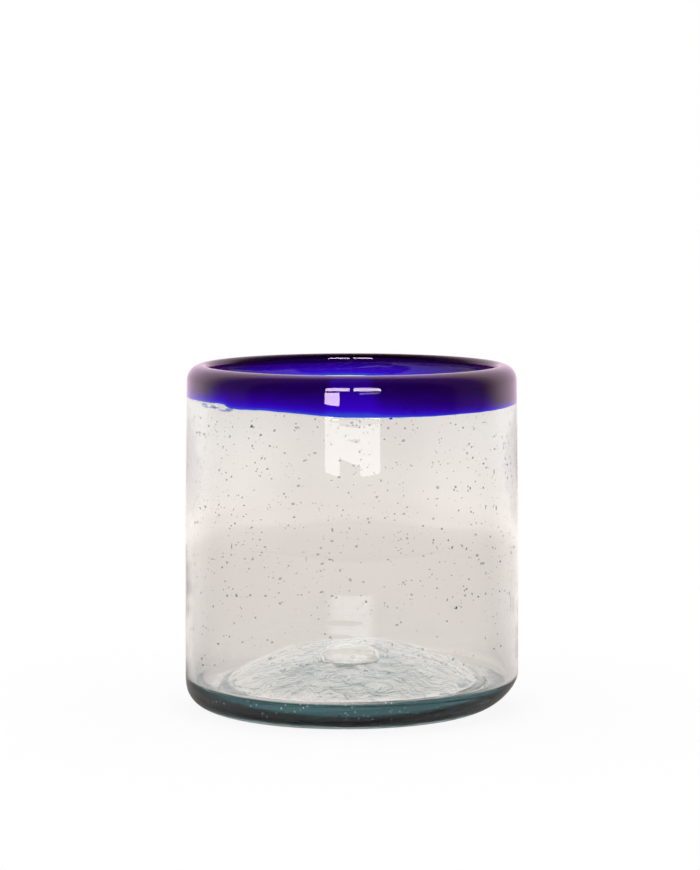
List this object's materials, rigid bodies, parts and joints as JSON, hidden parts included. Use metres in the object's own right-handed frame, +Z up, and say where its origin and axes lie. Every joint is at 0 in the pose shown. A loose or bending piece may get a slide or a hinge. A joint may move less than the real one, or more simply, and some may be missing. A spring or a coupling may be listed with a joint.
{
  "type": "margarita tumbler",
  "caption": "Straight-sided hand-blown drinking glass with a thick kicked-up base, seeded clear wall and a rounded cobalt lip fused over the wall's cut edge.",
  "frame": {"origin": "on the axis of the glass, in the plane of the ring it stands on", "axes": "+Z up along the axis to the mouth, +X and +Y level; the pictured side faces -Y"},
  "size_m": [0.092, 0.092, 0.0945],
  "materials": {
    "clear_glass": "hand-blown recycled soda-lime glass, seeded with small bubbles",
    "cobalt_glass": "cobalt-blue glass, fire-polished"
  },
  "bodies": {
    "root": {"clear_body": "clear_glass", "cobalt_rim": "cobalt_glass", "pontil_dab": "clear_glass"}
  },
  "joints": []
}
